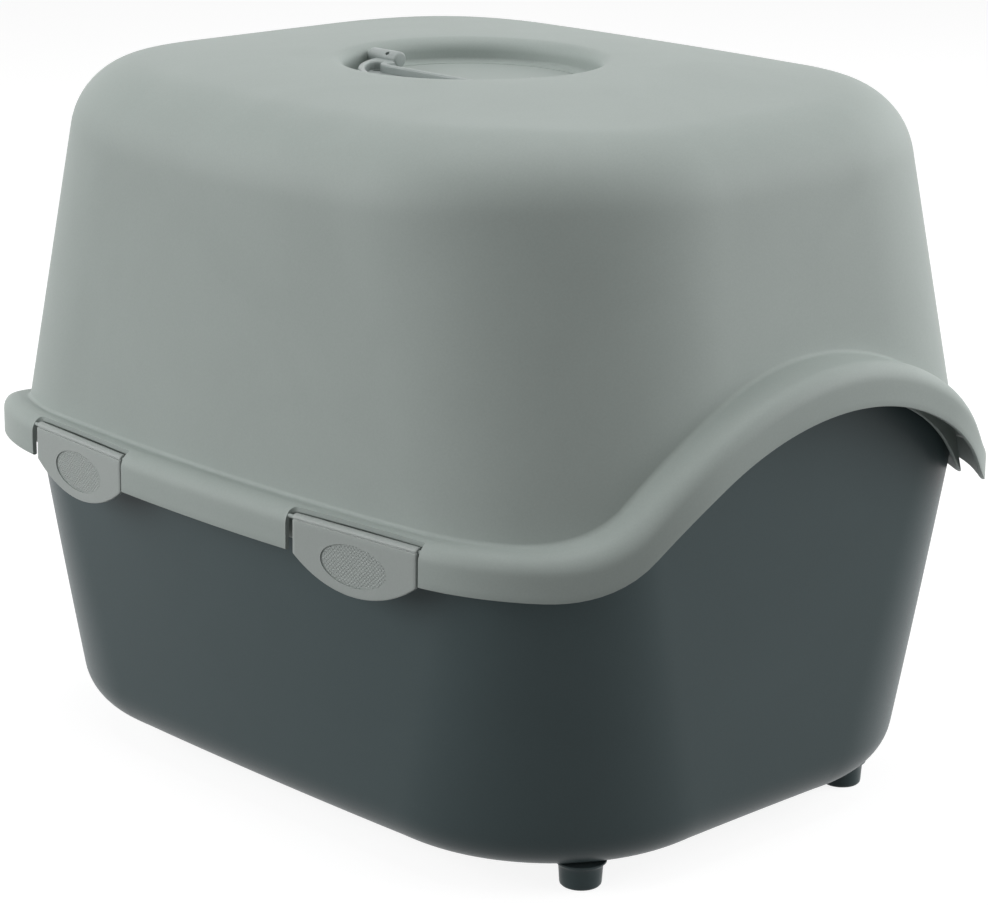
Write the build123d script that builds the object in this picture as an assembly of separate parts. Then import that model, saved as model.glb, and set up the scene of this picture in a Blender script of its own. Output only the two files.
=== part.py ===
"""Covered cat litter box: a deep pan on four feet, a hood that lifts off it, four side clips,
a folding carry handle in the roof and a swinging entry flap.

Frame: origin on the floor under the middle of the box, +Y to the rear, -Y to the entry, +Z up.
Every half width and half length is measured to the middle of its side, where the bow is greatest.
"""
from build123d import *
import math
import os

# Overall sizes, over the flange round the foot of the hood
LENGTH = 560.0
WIDTH = 437.0
HEIGHT = 416.5
WALL = 2.5

# Two points this near each other count as one
TOUCHING = 0.01

# Seam between pan and hood: level along the sides, arched at the rear, dipped at the front
SEAM_Z = 185.0
REAR_RISE = 78.5
REAR_FOOT_INSET = 38.8
REAR_BLEND_R = 65.0
FRONT_DIP = 30.0
FRONT_FOOT_INSET = 12.0
FRONT_BLEND_R = 120.0

# Flange: a shelf that runs out from the hood and turns down as a skirt
SIDE_BOW = 25.1
END_BOW = 17.5
FLANGE_CORNER_R = 129.0
SKIRT_HEIGHT = 24.0
SHOULDER_R = 10.0
LIP_RAISE = 1.0
WEB_THICKNESS = 1.8
WEB_DEPTH = 11.0
WEB_SIDE_Y = 188.0
WEB_END_X = 90.0

# Hood, measured where its walls meet the shelf
SIDE_SHELF = 15.2
END_SHELF = 15.6
HOOD_SIDE_BOW = 21.5
HOOD_END_BOW = 4.7
HOOD_CORNER_R = 125.6
HOOD_SIDE_LEAN = 2.64
HOOD_END_LEAN = 10.65
ROOF_CORNER_R = 142.2
ROOF_EDGE_R = 46.0

# Pan: its rim stands inside the foot of the hood
PAN_WALL = 3.0
PAN_SIDE_GAP = 8.8
PAN_END_GAP = 23.4
PAN_SIDE_BOW = 16.0
PAN_END_BOW = -3.0
PAN_CORNER_R = 84.0
PAN_SIDE_LEAN = 5.7
PAN_END_LEAN = 2.52
PAN_FLOOR_SIDE_BOW = 4.5
PAN_FLOOR_CORNER_R = 120.7
PAN_EDGE_R = 30.0
RIM_HEIGHT = 12.0
RIM_CLEARANCE = 0.3
STOP_THICKNESS = 3.0
STOP_HEIGHT = 8.0
STOP_SPACING = 110.0
STOP_OVERHANG = 5.0

# Feet
FOOT_HEIGHT = 14.0
FOOT_R = 11.7
FOOT_TAPER = 3.0
FOOT_EDGE_R = 2.0
FOOT_SIDE_INSET = 67.9
FOOT_END_INSET = 39.0

# Clips: two on each long side, hinged on rods moulded across notches in the flange
CLIP_SPACING = 236.5
CLIP_SHIFT = 4.0
NOTCH_LENGTH = 95.0
CLIP_FRONT_GAP = 5.0
CLIP_REAR_GAP = 1.5
CLIP_PLATE = 2.4
CLIP_SIDE_DROP = 24.5
CLIP_MIDDLE_DROP = 39.5
CLIP_TOP_DROP = 2.6
CLIP_BARREL_R = 2.8
CLIP_ROD_R = 1.1
CLIP_ROD_CLEARANCE = 0.3
NOTCH_CLEARANCE = 0.6
GRIP_LENGTH = 47.5
GRIP_HEIGHT = 23.0
GRIP_DROP = 22.7
GRIP_DEPTH = 0.6
HOOK_LENGTH = 40.0
HOOK_THICKNESS = 2.6
CATCH_LENGTH = 34.0
CATCH_HEIGHT = 5.0
CATCH_DROP = 3.0
CATCH_SETBACK = 7.2
CATCH_CLEARANCE = 0.4
CATCH_HEADROOM = 0.8
CLIP_ROD_SEAT = 3.0

# Round recess in the roof, and the handle that folds into it
RECESS_Y = -11.5
RECESS_R = 74.0
RECESS_DEPTH = 14.5
RECESS_RIM_R = 8.0
RECESS_FLOOR_R = 2.5
GROOVE_INSET = 7.0
GROOVE_WIDTH = 1.5
GROOVE_DEPTH = 0.8
HANDLE_AXIS_X = 14.0
HANDLE_AXIS_DROP = 6.3
HANDLE_BARREL_R = 4.6
HANDLE_BARREL_LENGTH = 24.0
HANDLE_BARREL_GAP = 4.0
HANDLE_PIN_R = 2.4
HANDLE_PIN_LENGTH = 21.0
HANDLE_PIN_END_GAP = 0.5
HANDLE_PIN_CLEARANCE = 0.3
REAR_BARREL_R = 3.2
REAR_BARREL_LENGTH = 9.0
REAR_PIN_R = 1.6
REAR_PIN_LENGTH = 7.0
HANDLE_REACH = 60.0
HANDLE_GRIP_WIDTH = 31.0
HANDLE_ARM_WIDTH = 18.5
HANDLE_ARM_INSET = 5.0
HANDLE_THICKNESS = 7.0
HANDLE_DROP = 6.5
HANDLE_WALL_GAP = 8.0
HANDLE_CHANNEL_WALL = 3.0
HANDLE_CHANNEL_DEPTH = 5.0

# Entry in the front wall, and its flap
ENTRY_WIDTH = 210.0
ENTRY_HEIGHT = 160.0
ENTRY_SILL = 190.0
ENTRY_CORNER_R = 20.0
FLAP_THICKNESS = 2.6
FLAP_CLEARANCE = 2.0
FLAP_SETBACK = 11.0
FLAP_PIN_R = 2.6
FLAP_PIN_CLEARANCE = 0.3
FLAP_PIN_END_GAP = 0.5
FLAP_PIN_DROP = 24.0
FLAP_BOSS_R = 6.0
FLAP_BOSS_LENGTH = 4.0

# Worked out from the sizes above
SHELF_Z = SEAM_Z + SKIRT_HEIGHT
FLANGE_HALF_WIDTH = WIDTH / 2
FLANGE_HALF_LENGTH = LENGTH / 2
HOOD_HALF_WIDTH = FLANGE_HALF_WIDTH - SIDE_SHELF
HOOD_HALF_LENGTH = FLANGE_HALF_LENGTH - END_SHELF
PAN_HALF_WIDTH = HOOD_HALF_WIDTH - PAN_SIDE_GAP
PAN_HALF_LENGTH = HOOD_HALF_LENGTH - PAN_END_GAP
WELL_BELOW = SEAM_Z - FRONT_DIP - SKIRT_HEIGHT
RECESS_FLOOR_Z = HEIGHT - RECESS_DEPTH
HANDLE_AXIS_Z = HEIGHT - HANDLE_AXIS_DROP
ENTRY_TOP = ENTRY_SILL + ENTRY_HEIGHT
ENTRY_MIDDLE = ENTRY_SILL + ENTRY_HEIGHT / 2
ENTRY_COLLAR_DEPTH = FLAP_SETBACK + FLAP_BOSS_R
FLAP_PIN_Z = ENTRY_TOP - FLAP_PIN_DROP
CLIP_AXIS_DROP = CLIP_TOP_DROP + CLIP_BARREL_R


def lean(angle, rise):
    """How far a wall that leans by angle degrees moves over a rise."""
    return math.tan(math.radians(angle)) * rise


def plan(half_width, half_length, side_bow, end_bow, corner_r, z):
    """A rounded rectangle with bowed sides, as a face at height z."""
    x = half_width - side_bow
    y = half_length - end_bow
    sides = Curve() + [
        ThreePointArc((x, -y), (half_width, 0), (x, y)),
        ThreePointArc((x, y), (0, half_length), (-x, y)),
        ThreePointArc((-x, y), (-half_width, 0), (-x, -y)),
        ThreePointArc((-x, -y), (0, -half_length), (x, -y)),
    ]
    face = make_face(sides)
    return Pos(0, 0, z) * fillet(face.vertices(), corner_r)


def seam_outline(rise, foot_inset, blend_r, lift):
    """The area under the seam, seen from the front: a crown arc between two blend arcs."""
    sign = math.copysign(1, rise)
    height = abs(rise)
    foot = FLANGE_HALF_WIDTH - foot_inset
    crown_r = (foot ** 2 + height ** 2) / (2 * height) - blend_r
    meet = foot * crown_r / (crown_r + blend_r)
    meet_z = height - crown_r + math.sqrt(crown_r ** 2 - meet ** 2)
    middle = (foot + meet) / 2
    middle_z = blend_r - math.sqrt(blend_r ** 2 - (foot - middle) ** 2)
    level = SEAM_Z + lift

    def at(x, z):
        return (x, level + sign * z)

    below = [(-WIDTH, level), (-WIDTH, -HEIGHT), (WIDTH, -HEIGHT), (WIDTH, level)]
    edge = Curve() + [
        Polyline(at(-foot, 0), *below, at(foot, 0)),
        ThreePointArc(at(-foot, 0), at(-middle, middle_z), at(-meet, meet_z)),
        ThreePointArc(at(-meet, meet_z), at(0, height), at(meet, meet_z)),
        ThreePointArc(at(meet, meet_z), at(middle, middle_z), at(foot, 0)),
    ]
    return make_face(edge)


def below_seam(lift):
    """Everything under the seam when the seam is raised by lift."""
    rear = Plane.XZ * seam_outline(REAR_RISE, REAR_FOOT_INSET, REAR_BLEND_R, lift)
    front = Plane.XZ * seam_outline(-FRONT_DIP, FRONT_FOOT_INSET, FRONT_BLEND_R, lift)
    return extrude(rear, -LENGTH) + extrude(front, LENGTH)


def flange_plan(inset, z):
    """Outline of the skirt's outer face, moved in by inset."""
    return plan(FLANGE_HALF_WIDTH - inset, FLANGE_HALF_LENGTH - inset,
                SIDE_BOW, END_BOW, FLANGE_CORNER_R - inset, z)


def hood_plan(inset, z):
    """Outline of the hood's wall at height z, moved in by inset."""
    rise = z - SHELF_Z
    share = rise / (HEIGHT - SHELF_Z)
    corner = HOOD_CORNER_R + (ROOF_CORNER_R - HOOD_CORNER_R) * share
    return plan(HOOD_HALF_WIDTH - lean(HOOD_SIDE_LEAN, rise) - inset,
                HOOD_HALF_LENGTH - lean(HOOD_END_LEAN, rise) - inset,
                HOOD_SIDE_BOW, HOOD_END_BOW, corner - inset, z)


def hood_block(inset):
    """The hood as a solid block with a rounded roof edge, moved in by inset all round."""
    block = loft([hood_plan(inset, WELL_BELOW), hood_plan(inset, HEIGHT - inset)], ruled=True)
    roof = block.faces().sort_by(Axis.Z)[-1]
    return fillet(roof.edges(), ROOF_EDGE_R - inset)


def pan_plan(inset, z):
    """Outline of the pan's wall at height z, moved in by inset."""
    rise = z - SEAM_Z
    share = -rise / (SEAM_Z - FOOT_HEIGHT)
    side_bow = PAN_SIDE_BOW + (PAN_FLOOR_SIDE_BOW - PAN_SIDE_BOW) * share
    corner = PAN_CORNER_R + (PAN_FLOOR_CORNER_R - PAN_CORNER_R) * share
    return plan(PAN_HALF_WIDTH + lean(PAN_SIDE_LEAN, rise) - inset,
                PAN_HALF_LENGTH + lean(PAN_END_LEAN, rise) - inset,
                side_bow, PAN_END_BOW, corner - inset, z)


def pan_block(inset):
    """The pan as a solid block with a rounded bottom edge, moved in by inset all round."""
    top = SEAM_Z + REAR_RISE + SKIRT_HEIGHT
    block = loft([pan_plan(inset, FOOT_HEIGHT + inset), pan_plan(inset, top)], ruled=True)
    floor = block.faces().sort_by(Axis.Z)[0]
    return fillet(floor.edges(), PAN_EDGE_R - inset)


def flange_block(inset):
    """The space that the flange covers: everything under its shelf and inside its skirt."""
    base = flange_plan(inset, WELL_BELOW).face()
    prism = extrude(base, SEAM_Z + REAR_RISE + 2 * SKIRT_HEIGHT - WELL_BELOW)
    block = prism & below_seam(SKIRT_HEIGHT - inset)
    shoulder = [edge for edge in block.edges() if is_shoulder(edge, base.outer_wire())]
    return fillet(shoulder, SHOULDER_R - inset)


def is_shoulder(edge, outline):
    """Whether an edge runs above the outline at the foot of the block, and isn't upright."""
    middle = edge.position_at(0.5)
    foot = Vector(middle.X, middle.Y, WELL_BELOW)
    over_outline = outline.distance_to(foot) < TOUCHING
    raised = middle.Z - WELL_BELOW > TOUCHING
    upright = 1 - abs(edge.tangent_at(0.5).Z) < TOUCHING
    return over_outline and raised and not upright


def clip_plane(end):
    """Frame of a right-hand clip: origin on the skirt at shelf height, x to the front, y outward."""
    def skirt_x(y):
        half = FLANGE_HALF_LENGTH - END_BOW
        radius = (half ** 2 + SIDE_BOW ** 2) / (2 * SIDE_BOW)
        return FLANGE_HALF_WIDTH - radius + math.sqrt(radius ** 2 - y ** 2)

    middle = CLIP_SHIFT + end * CLIP_SPACING / 2
    rear = Vector(skirt_x(middle + NOTCH_LENGTH / 2), middle + NOTCH_LENGTH / 2, SHELF_Z)
    front = Vector(skirt_x(middle - NOTCH_LENGTH / 2), middle - NOTCH_LENGTH / 2, SHELF_Z)
    return Plane(origin=(rear + front) / 2, x_dir=front - rear, z_dir=(0, 0, 1))


def span(x, y, z):
    """A block between pairs of limits along each axis."""
    block = Box(x[1] - x[0], y[1] - y[0], z[1] - z[0])
    return Pos((x[0] + x[1]) / 2, (y[0] + y[1]) / 2, (z[0] + z[1]) / 2) * block


def rod(radius, start, end):
    """A round bar along a clip's hinge axis."""
    place = Pos((start + end) / 2, -CLIP_BARREL_R, -CLIP_AXIS_DROP)
    return place * Rot(0, 90, 0) * Cylinder(radius, end - start)


def clip_span():
    """Where a clip's plate starts and ends along its notch."""
    return (-NOTCH_LENGTH / 2 + CLIP_REAR_GAP, NOTCH_LENGTH / 2 - CLIP_FRONT_GAP)


def clip_shape():
    """One clip in its own frame: a barrel, a plate with an arched foot, a grip oval and a hook."""
    start, end = clip_span()
    middle = (start + end) / 2
    corners = [(start, -CLIP_SIDE_DROP), (start, -CLIP_AXIS_DROP),
               (end, -CLIP_AXIS_DROP), (end, -CLIP_SIDE_DROP)]
    outline = Curve() + [
        Polyline(*corners),
        ThreePointArc(corners[-1], (middle, -CLIP_MIDDLE_DROP), corners[0]),
    ]
    plate = extrude(Plane.XZ * make_face(outline), CLIP_PLATE)
    oval = Pos(middle, -GRIP_DROP) * Ellipse(GRIP_LENGTH / 2, GRIP_HEIGHT / 2)
    grip = extrude(Plane.XZ * oval, GRIP_DEPTH)
    hook_top = -SKIRT_HEIGHT - CATCH_DROP - CATCH_HEIGHT - CATCH_HEADROOM
    hook = span((middle - HOOK_LENGTH / 2, middle + HOOK_LENGTH / 2),
                (CATCH_CLEARANCE - CATCH_SETBACK, -CLIP_PLATE / 2),
                (hook_top - HOOK_THICKNESS, hook_top))
    barrel = rod(CLIP_BARREL_R, start, end)
    bore = rod(CLIP_ROD_R + CLIP_ROD_CLEARANCE, start, end)
    return plate - grip + hook + barrel - bore


def clip(end):
    """The right-hand clip at one end, in place on its rod."""
    return clip_plane(end) * clip_shape()


def notch(end):
    """The gap that a right-hand clip leaves in the flange."""
    return clip_plane(end) * span((-NOTCH_LENGTH / 2, NOTCH_LENGTH / 2),
                                  (-2 * CLIP_BARREL_R - NOTCH_CLEARANCE, SIDE_BOW),
                                  (-2 * SKIRT_HEIGHT, SKIRT_HEIGHT))


def clip_rod(end):
    """The rod across a notch that a right-hand clip turns on."""
    reach = NOTCH_LENGTH / 2 + CLIP_ROD_SEAT
    return clip_plane(end) * rod(CLIP_ROD_R, -reach, reach)


def catch(end):
    """The block on the pan that a right-hand clip hooks under, reaching into the pan's wall."""
    start, finish = clip_span()
    middle = (start + finish) / 2
    top = -SKIRT_HEIGHT - CATCH_DROP
    root = -CATCH_SETBACK - SIDE_SHELF - PAN_SIDE_GAP
    return clip_plane(end) * span((middle - CATCH_LENGTH / 2, middle + CATCH_LENGTH / 2),
                                  (root, -CATCH_SETBACK), (top - CATCH_HEIGHT, top))


def both_sides(shape):
    """A right-hand shape and its mirror image on the left."""
    return shape + mirror(shape, Plane.YZ)


def foot():
    """One foot, from the floor up into the pan's own floor."""
    top = FOOT_HEIGHT + PAN_WALL / 2
    stub = extrude(Circle(FOOT_R), top, taper=-FOOT_TAPER)
    return fillet(stub.edges().sort_by(Axis.Z)[0], FOOT_EDGE_R)


def foot_places():
    """Where the feet stand, set in from the foot of the pan's walls."""
    drop = SEAM_Z - FOOT_HEIGHT
    x = PAN_HALF_WIDTH - lean(PAN_SIDE_LEAN, drop) - FOOT_SIDE_INSET
    y = PAN_HALF_LENGTH - lean(PAN_END_LEAN, drop) - FOOT_END_INSET
    return [(x, y), (x, -y), (-x, y), (-x, -y)]


def pan():
    """The deep tray that holds the litter, with its feet and the clips' catches."""
    inside = pan_block(PAN_WALL)
    catches = both_sides(catch(1) + catch(-1)) - inside
    tray = (pan_block(0) - inside) & below_seam(RIM_HEIGHT)
    feet = [Pos(x, y, 0) * foot() for x, y in foot_places()]
    return tray + catches + feet


def recess(radius, floor_z):
    """A round well cut down from the roof."""
    return Pos(0, RECESS_Y, 0) * extrude(Pos(0, 0, floor_z) * Circle(radius), HEIGHT - floor_z)


def rim_edge(block, radius, z):
    """The circle where the recess meets a level face."""
    circles = block.edges().filter_by(GeomType.CIRCLE)
    return [edge for edge in circles
            if abs(edge.radius - radius) < TOUCHING and abs(edge.center().Z - z) < TOUCHING]


def roof_recess(block):
    """Sink the handle's recess into a hood block, with a rounded rim and a ring groove in its floor."""
    block = block - recess(RECESS_R, RECESS_FLOOR_Z)
    block = fillet(rim_edge(block, RECESS_R, HEIGHT), RECESS_RIM_R)
    block = fillet(rim_edge(block, RECESS_R, RECESS_FLOOR_Z), RECESS_FLOOR_R)
    ring = Circle(RECESS_R - GROOVE_INSET) - Circle(RECESS_R - GROOVE_INSET - GROOVE_WIDTH)
    groove = extrude(Pos(0, RECESS_Y, RECESS_FLOOR_Z - GROOVE_DEPTH) * ring, GROOVE_DEPTH)
    return block - groove


def hood_cavity():
    """The space inside the hood, round the recess."""
    cavity = hood_block(WALL) - recess(RECESS_R + WALL, RECESS_FLOOR_Z - WALL)
    return fillet(rim_edge(cavity, RECESS_R + WALL, HEIGHT - WALL), RECESS_RIM_R - WALL)


def flange():
    """The shelf and skirt, notched for the clips, with webs in the channel near the corners."""
    inside = hood_block(WALL / 2)
    ring = flange_block(0) - flange_block(WALL) - below_seam(0) - inside
    side_webs = [span((-WIDTH, WIDTH), (y - WEB_THICKNESS / 2, y + WEB_THICKNESS / 2), (0, HEIGHT))
                 for y in (-WEB_SIDE_Y, WEB_SIDE_Y)]
    end_webs = [span((x - WEB_THICKNESS / 2, x + WEB_THICKNESS / 2), (-LENGTH, LENGTH), (0, HEIGHT))
                for x in (-WEB_END_X, WEB_END_X)]
    webs = (Part() + side_webs + end_webs) & flange_block(WALL / 2)
    webs = webs - below_seam(SKIRT_HEIGHT - WEB_DEPTH) - inside
    return ring + webs - both_sides(notch(1) + notch(-1))


def stops():
    """Plates inside the hood that come down on the pan's rim."""
    over_side = PAN_HALF_WIDTH - PAN_WALL - STOP_OVERHANG
    over_end = PAN_HALF_LENGTH - PAN_WALL - STOP_OVERHANG
    half = STOP_THICKNESS / 2
    plates = Part()
    for place in (-STOP_SPACING / 2, STOP_SPACING / 2):
        plates += span((-WIDTH, WIDTH), (place - half, place + half), (0, HEIGHT))
        plates += span((place - half, place + half), (-LENGTH, LENGTH), (0, HEIGHT))
    plates -= span((-over_side, over_side), (-over_end, over_end), (0, HEIGHT))
    band = below_seam(RIM_HEIGHT + RIM_CLEARANCE + STOP_HEIGHT) - below_seam(RIM_HEIGHT + RIM_CLEARANCE)
    return plates & band & hood_block(WALL / 2)


def front_wall_y(z):
    """Where the hood's front wall stands on the centre line at height z."""
    return -HOOD_HALF_LENGTH + lean(HOOD_END_LEAN, z - SHELF_Z)


def entry_outline(grow):
    """The entry's outline, seen from the front, grown outward by grow."""
    outline = RectangleRounded(ENTRY_WIDTH + 2 * grow, ENTRY_HEIGHT + 2 * grow, ENTRY_CORNER_R + grow)
    return Plane.XZ * (Pos(0, ENTRY_MIDDLE) * outline)


def entry_prism(grow):
    """The entry as a block that runs forward from the back of its collar."""
    back = front_wall_y(ENTRY_TOP) + ENTRY_COLLAR_DEPTH
    return extrude(Pos(0, back, 0) * entry_outline(grow), LENGTH)


def flap_pin_reach():
    """How far the flap's bosses and their bores reach to each side of the middle."""
    return ENTRY_WIDTH / 2 + WALL + FLAP_BOSS_LENGTH


def flap_bar(radius, half_length):
    """A bar along the flap's hinge line."""
    y = front_wall_y(ENTRY_TOP) + FLAP_SETBACK
    return Pos(0, y, FLAP_PIN_Z) * Rot(0, 90, 0) * Cylinder(radius, 2 * half_length)


def handle_bar(radius, start, end):
    """A bar on the handle's hinge line, between two places measured to the rear from mid-recess."""
    middle = Pos(HANDLE_AXIS_X, RECESS_Y + (start + end) / 2, HANDLE_AXIS_Z)
    return middle * Rot(90, 0, 0) * Cylinder(radius, end - start)


def handle_pins():
    """The two pins on the recess wall that the handle turns on: a long one in front, a slim one behind."""
    outer = RECESS_R + WALL
    barrel_end = RECESS_R - HANDLE_BARREL_GAP
    front = handle_bar(HANDLE_PIN_R, -outer, HANDLE_PIN_LENGTH - barrel_end)
    rear = handle_bar(REAR_PIN_R, barrel_end - REAR_PIN_LENGTH, outer)
    return (front + rear) & recess(RECESS_R + WALL / 2, RECESS_FLOOR_Z)


def hood():
    """The lift-off cover: walls, roof, recess, flange, entry collar and every moulded-in pivot."""
    outside = roof_recess(hood_block(0))
    walls = outside - hood_cavity() - below_seam(LIP_RAISE)
    collar = (entry_prism(WALL) & hood_block(WALL / 2)) + walls
    bosses = flap_bar(FLAP_BOSS_R, flap_pin_reach()) & hood_block(WALL / 2)
    cover = collar + bosses + flange() + stops() + handle_pins() + both_sides(clip_rod(1) + clip_rod(-1))
    return cover - entry_prism(0) - flap_bar(FLAP_PIN_R + FLAP_PIN_CLEARANCE, flap_pin_reach())


def bail_plan(near, far, half_length, wall_gap):
    """A straight-sided area of the handle, seen from above and held inside the recess."""
    area = Pos((near + far) / 2, 0) * Rectangle(far - near, 2 * half_length)
    return area & Circle(RECESS_R - wall_gap)


def handle():
    """The folding handle, lying flat in the recess."""
    outer_end = RECESS_R - HANDLE_BARREL_GAP
    front_bore = HANDLE_PIN_LENGTH + HANDLE_PIN_END_GAP - outer_end
    rear_bore = outer_end - REAR_PIN_LENGTH - HANDLE_PIN_END_GAP
    barrels = handle_bar(HANDLE_BARREL_R, -outer_end, HANDLE_BARREL_LENGTH - outer_end)
    barrels += handle_bar(REAR_BARREL_R, outer_end - REAR_BARREL_LENGTH, outer_end)
    bores = handle_bar(HANDLE_PIN_R + HANDLE_PIN_CLEARANCE, -outer_end, front_bore)
    bores += handle_bar(REAR_PIN_R + HANDLE_PIN_CLEARANCE, rear_bore, outer_end)
    arm_outer = outer_end - HANDLE_ARM_INSET
    arm_inner = arm_outer - HANDLE_ARM_WIDTH
    grip_inner = HANDLE_REACH - HANDLE_GRIP_WIDTH
    wall = HANDLE_CHANNEL_WALL
    finger_gap = bail_plan(0, grip_inner, arm_inner, 0)
    bail = bail_plan(HANDLE_AXIS_X, HANDLE_REACH, arm_outer, HANDLE_WALL_GAP) - finger_gap
    channel = bail_plan(grip_inner + wall, HANDLE_REACH - wall,
                        arm_inner - wall, HANDLE_WALL_GAP + wall)
    top = HEIGHT - HANDLE_DROP
    body = Pos(0, RECESS_Y, top - HANDLE_THICKNESS) * extrude(bail, HANDLE_THICKNESS)
    pocket = Pos(0, RECESS_Y, top - HANDLE_CHANNEL_DEPTH) * extrude(channel, HANDLE_CHANNEL_DEPTH)
    return body - pocket + barrels - bores


def door_flap():
    """The entry flap with its two pivot pins."""
    width = ENTRY_WIDTH - 2 * FLAP_CLEARANCE
    height = ENTRY_HEIGHT - 2 * FLAP_CLEARANCE
    outline = RectangleRounded(width, height, ENTRY_CORNER_R - FLAP_CLEARANCE)
    sheet = Plane.XZ * (Pos(0, ENTRY_MIDDLE) * outline)
    back = front_wall_y(ENTRY_TOP) + FLAP_SETBACK + FLAP_THICKNESS / 2
    panel = extrude(Pos(0, back, 0) * sheet, FLAP_THICKNESS)
    pins = flap_bar(FLAP_PIN_R, flap_pin_reach() - FLAP_PIN_END_GAP)
    pins -= flap_bar(FLAP_PIN_R, width / 2 - FLAP_PIN_R)
    return panel + pins


def nodes():
    """Every piece under its own name; right is +X."""
    front, rear = clip(-1), clip(1)
    return {
        "pan": pan(),
        "hood": hood(),
        "handle": handle(),
        "door_flap": door_flap(),
        "clip_right_front": front,
        "clip_right_rear": rear,
        "clip_left_front": mirror(front, Plane.YZ),
        "clip_left_rear": mirror(rear, Plane.YZ),
    }


if __name__ == "__main__":
    os.makedirs("parts", exist_ok=True)
    for name, shape in nodes().items():
        export_step(shape, f"parts/{name}.step")
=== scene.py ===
"""Looks of the covered litter box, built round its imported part.

Sizes are in millimetres and each mesh is scaled to metres as it is made. The frame is the part's own:
origin on the floor under the middle of the box, +Y to the rear, +Z up.
"""
import math

import bmesh
import bpy
import numpy as np
from mathutils import Matrix, Vector


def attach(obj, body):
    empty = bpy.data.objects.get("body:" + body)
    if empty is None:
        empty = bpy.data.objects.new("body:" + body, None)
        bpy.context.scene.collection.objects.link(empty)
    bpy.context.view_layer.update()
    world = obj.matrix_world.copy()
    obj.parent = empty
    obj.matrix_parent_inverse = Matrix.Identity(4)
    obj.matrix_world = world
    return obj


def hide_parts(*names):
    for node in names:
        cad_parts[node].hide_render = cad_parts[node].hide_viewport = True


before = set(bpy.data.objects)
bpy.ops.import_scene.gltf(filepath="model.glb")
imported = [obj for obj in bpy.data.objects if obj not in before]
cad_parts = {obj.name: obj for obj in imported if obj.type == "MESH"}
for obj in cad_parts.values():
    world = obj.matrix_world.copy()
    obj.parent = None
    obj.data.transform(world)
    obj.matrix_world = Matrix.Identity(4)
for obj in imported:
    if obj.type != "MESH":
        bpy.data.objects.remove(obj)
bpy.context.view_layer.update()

MM = 0.001
QUARTER = math.pi / 2

# Overall sizes and the seam between pan and hood
HEIGHT = 416.5
WALL = 2.5
SEAM_Z = 185.0
REAR_RISE = 78.5
REAR_FOOT = 179.7
REAR_BLEND_R = 65.0
FRONT_DIP = 30.0
FRONT_FOOT = 206.5
FRONT_BLEND_R = 120.0

# Flange round the foot of the hood
FLANGE_HALF_WIDTH = 218.5
FLANGE_HALF_LENGTH = 280.0
SIDE_BOW = 25.1
END_BOW = 17.5
FLANGE_CORNER_R = 129.0
SKIRT_HEIGHT = 24.0
SHOULDER_R = 10.0
SKIRT_EDGE_R = 0.7
LIP_RAISE = 1.0
SHELF_FILLET_R = 2.2
SHELF_Z = SEAM_Z + SKIRT_HEIGHT
WEB_THICKNESS = 1.8
WEB_DEPTH = 11.0
WEB_TOP_GAP = 1.4
WEB_SIDE_Y = 188.0
WEB_END_X = 90.0

# Hood walls and roof
HOOD_HALF_WIDTH = 203.3
HOOD_HALF_LENGTH = 264.4
HOOD_SIDE_BOW = 21.5
HOOD_END_BOW = 4.7
HOOD_CORNER_R = 125.6
HOOD_SIDE_LEAN = math.radians(2.64)
HOOD_END_LEAN = math.radians(10.65)
ROOF_CORNER_R = 142.2
ROOF_EDGE_R = 46.0
ROOF_CROWN = 5.2
ROOF_FLAT_X = 148.0
ROOF_FLAT_Y = 180.0

# Round recess in the roof
RECESS_Y = -11.5
RECESS_R = 74.0
RECESS_FLOOR_Z = 402.0
RECESS_RIM_R = 8.0
RECESS_FLOOR_R = 2.5
GROOVE_R = 66.2
GROOVE_WIDTH = 1.5
GROOVE_DEPTH = 0.8

# Pan
PAN_HALF_WIDTH = 194.5
PAN_HALF_LENGTH = 241.0
PAN_WALL = 3.0
PAN_SIDE_BOW = 16.0
PAN_END_BOW = -3.0
PAN_CORNER_R = 84.0
PAN_FLOOR_SIDE_BOW = 4.5
PAN_FLOOR_CORNER_R = 120.7
PAN_SIDE_LEAN = math.radians(5.7)
PAN_END_LEAN = math.radians(2.52)
PAN_EDGE_R = 30.0
RIM_HEIGHT = 12.0
RIM_ROUND = 0.9
FOOT_HEIGHT = 14.0
FOOT_R = 11.7
FOOT_X = 109.5
FOOT_Y = 194.5

# Stops inside the hood, over the pan's rim
STOP_OVERHANG = 5.0
STOP_PLACE = 55.0
STOP_HALF_THICKNESS = 1.5
SIDE_STOP_GAP = 0.3
SIDE_STOP_HEIGHT = 8.0
END_STOP_GAP = 0.8
END_STOP_HEIGHT = 7.5

# Clips
CLIP_SPACING = 236.5
CLIP_SHIFT = 4.0
NOTCH_LENGTH = 95.0
NOTCH_DEPTH = 6.2
NOTCH_OUT = 12.0
CLIP_FRONT_GAP = 5.0
CLIP_REAR_GAP = 1.5
CLIP_PLATE = 2.4
CLIP_SIDE_DROP = 24.5
CLIP_MIDDLE_DROP = 39.5
CLIP_AXIS_DEPTH = 2.8
CLIP_AXIS_DROP = 5.4
CLIP_RIDGE_R = 2.45
CLIP_ROD_R = 1.1
CLIP_BORE_R = 1.4
CLIP_EDGE_R = 0.5
CLIP_FOOT_R = 0.55
CLIP_START = -NOTCH_LENGTH / 2 + CLIP_REAR_GAP
CLIP_END = NOTCH_LENGTH / 2 - CLIP_FRONT_GAP
CLIP_MIDDLE = (CLIP_START + CLIP_END) / 2
GRIP_LENGTH = 47.5
GRIP_HEIGHT = 23.0
GRIP_DROP = 22.7
GRIP_DEPTH = 0.8
GRIP_FILL = 0.92
BEAD_PITCH = (2.4, 1.2)
BEAD_SIZE = (2.15, 0.78, 0.7)
CATCH_TOP = -27.0
CATCH_HEIGHT = 5.0
CATCH_HALF_LENGTH = 17.0
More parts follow.
